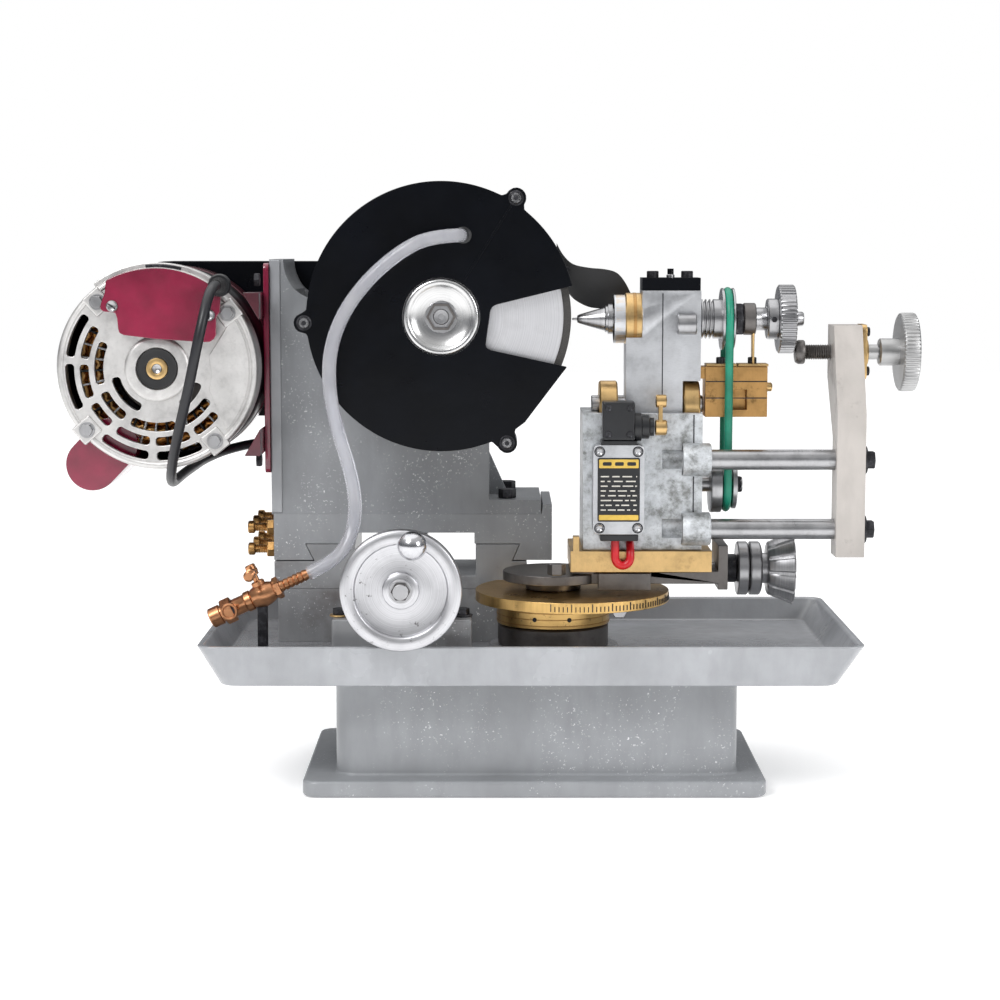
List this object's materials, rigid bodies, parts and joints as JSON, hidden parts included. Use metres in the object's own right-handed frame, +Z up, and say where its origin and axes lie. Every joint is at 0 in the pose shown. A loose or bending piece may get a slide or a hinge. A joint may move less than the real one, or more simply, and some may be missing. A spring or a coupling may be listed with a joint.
{
  "type": "cabbing machine",
  "caption": "Bench stone grinder: a guarded wheel and motor on a sliding column, facing a swivelling work head that turns the stone, over a drip tray.",
  "frame": {"origin": "centre of the base's underside", "axes": "+X towards the work head, +Y towards the back, +Z up"},
  "size_m": [0.6806, 0.392, 0.4787],
  "materials": {
    "grey_enamel": "worn grey machine enamel over castings",
    "machined_iron": "machined iron, wet and stained",
    "bright_steel": "turned steel",
    "black_oxide": "black oxide steel",
    "black_gloss": "gloss black",
    "maroon_paint": "gloss maroon",
    "cast_aluminium": "turned cast aluminium",
    "aged_brass": "aged brass",
    "valve_bronze": "copper bronze",
    "copper_wire": "lacquered copper wire",
    "abrasive": "resin bonded grit",
    "black_rubber": "matt black rubber",
    "clear_hose": "clear flexible vinyl",
    "green_belt": "round green belt",
    "red_cable": "red cable jacket"
  },
  "bodies": {
    "base": {"pedestal": "grey_enamel", "drip_tray": "grey_enamel", "bed_riser": "grey_enamel", "dovetail_bed": "machined_iron", "base_screws": "black_oxide", "leadscrew_bracket": "grey_enamel", "pivot_ring": "black_oxide", "index_disc": "aged_brass", "valve_body": "valve_bronze", "water_hose": "clear_hose", "power_cord": "black_rubber", "power_cord_coil": "black_rubber", "power_plug": "black_rubber"},
    "valve_handle": {"valve_lever": "valve_bronze"},
    "saddle": {"saddle": "grey_enamel", "gib_screws": "black_oxide", "column": "grey_enamel", "column_screws": "black_oxide", "motor_plate": "maroon_paint", "motor_shell": "maroon_paint", "motor_front_bell": "cast_aluminium", "stator_windings": "copper_wire", "terminal_cover": "maroon_paint", "capacitor_cover": "maroon_paint", "wheel_guard": "black_gloss", "guard_cover": "black_gloss", "splash_flap": "black_rubber", "belt_guard": "black_oxide", "drive_belt": "black_rubber", "cord_gland": "black_rubber"},
    "wheel": {"wheel_spindle": "bright_steel", "grinding_wheel": "abrasive", "wheel_flange": "bright_steel", "spindle_pulley": "black_oxide"},
    "rotor": {"motor_rotor": "bright_steel", "motor_pulley": "black_oxide"},
    "handwheel": {"leadscrew": "bright_steel", "handwheel": "cast_aluminium"},
    "crank": {"crank_knob": "cast_aluminium"},
    "turntable": {"swivel_plate": "machined_iron"},
    "head": {"slide_base": "grey_enamel", "head_casting": "grey_enamel", "guide_rods": "bright_steel", "tail_arm": "grey_enamel", "tail_fittings": "black_oxide", "limit_switch": "machined_iron", "switch_cable": "red_cable", "spindle_belt": "green_belt"},
    "adjuster": {"adjuster_knob": "cast_aluminium"},
    "drive": {"drive_pulley": "bright_steel"},
    "lever": {"switch_lever": "aged_brass"},
    "arm": {"swing_arm": "machined_iron", "arm_cap": "black_oxide", "pivot_bushes": "aged_brass", "cross_slide_block": "aged_brass"},
    "work": {"work_spindle": "bright_steel", "step_pulley": "bright_steel", "template_wheel": "bright_steel"},
    "tail_screw": {"tail_screw": "bright_steel"},
    "tail_wheel": {"tail_wheel": "cast_aluminium"}
  },
  "joints": [
    {"name": "valve_lever_turn", "type": "hinge", "parent": "base", "child": "valve_handle", "pos_m": [-0.21431, -0.06, 0.15444], "axis": [-0.4226, 0, 0.9063], "range_deg": [0, 90]},
    {"name": "handwheel_turn", "type": "hinge", "parent": "base", "child": "handwheel", "pos_m": [-0.1016, 0, 0.1709], "axis": [0, 1, 0], "range_deg": [-1081, 1081]},
    {"name": "crank_knob_spin", "type": "hinge", "parent": "handwheel", "child": "crank", "pos_m": [-0.0922, 0, 0.2072], "axis": [0, 1, 0], "continuous": true},
    {"name": "saddle_slide", "type": "slide", "parent": "base", "child": "saddle", "axis": [0, 1, 0], "range_m": [-0.015, 0.015], "deforming": ["water_hose", "power_cord", "splash_flap"]},
    {"name": "wheel_spin", "type": "hinge", "parent": "saddle", "child": "wheel", "pos_m": [-0.0729, 0, 0.3737], "axis": [0, 1, 0], "continuous": true},
    {"name": "motor_spin", "type": "hinge", "parent": "saddle", "child": "rotor", "pos_m": [-0.2986, 0, 0.332], "axis": [0, 1, 0], "continuous": true},
    {"name": "turntable_swing", "type": "hinge", "parent": "base", "child": "turntable", "pos_m": [0.0154, -0.045, 0], "axis": [0, 0, 1], "range_deg": [-20, 0]},
    {"name": "adjuster_turn", "type": "hinge", "parent": "turntable", "child": "adjuster", "pos_m": [0, -0.045, 0.1735], "axis": [1, 0, 0], "range_deg": [0, 1802]},
    {"name": "head_feed", "type": "slide", "parent": "turntable", "child": "head", "axis": [1, 0, 0], "range_m": [0, 0.005]},
    {"name": "drive_pulley_spin", "type": "hinge", "parent": "head", "child": "drive", "pos_m": [0, -0.045, 0.2408], "axis": [1, 0, 0], "continuous": true},
    {"name": "switch_lever_press", "type": "hinge", "parent": "head", "child": "lever", "pos_m": [0, -0.086, 0.289], "axis": [1, 0, 0], "range_deg": [0, 20], "stiffness_Nm_per_rad": 0.05},
    {"name": "arm_tilt", "type": "hinge", "parent": "head", "child": "arm", "pos_m": [0, -0.045, 0.3045], "axis": [1, 0, 0], "range_deg": [-5, 5], "deforming": ["spindle_belt"]},
    {"name": "work_spindle_spin", "type": "hinge", "parent": "arm", "child": "work", "pos_m": [0, -0.045, 0.3715], "axis": [1, 0, 0], "continuous": true},
    {"name": "tail_screw_feed", "type": "slide", "parent": "head", "child": "tail_screw", "axis": [1, 0, 0], "range_m": [0, 0.004]},
    {"name": "tail_wheel_turn", "type": "hinge", "parent": "tail_screw", "child": "tail_wheel", "pos_m": [0, -0.045, 0.3455], "axis": [1, 0, 0], "range_deg": [0, 1442]}
  ],
  "couplings": [
    {"joint": "handwheel_turn", "follows": "saddle_slide", "rad_per_m": 1256.6},
    {"joint": "motor_spin", "follows": "wheel_spin", "ratio": 1.2},
    {"joint": "adjuster_turn", "follows": "head_feed", "rad_per_m": 6283.2},
    {"joint": "drive_pulley_spin", "follows": "work_spindle_spin", "ratio": 1.18},
    {"joint": "tail_wheel_turn", "follows": "tail_screw_feed", "rad_per_m": 6283.2}
  ]
}
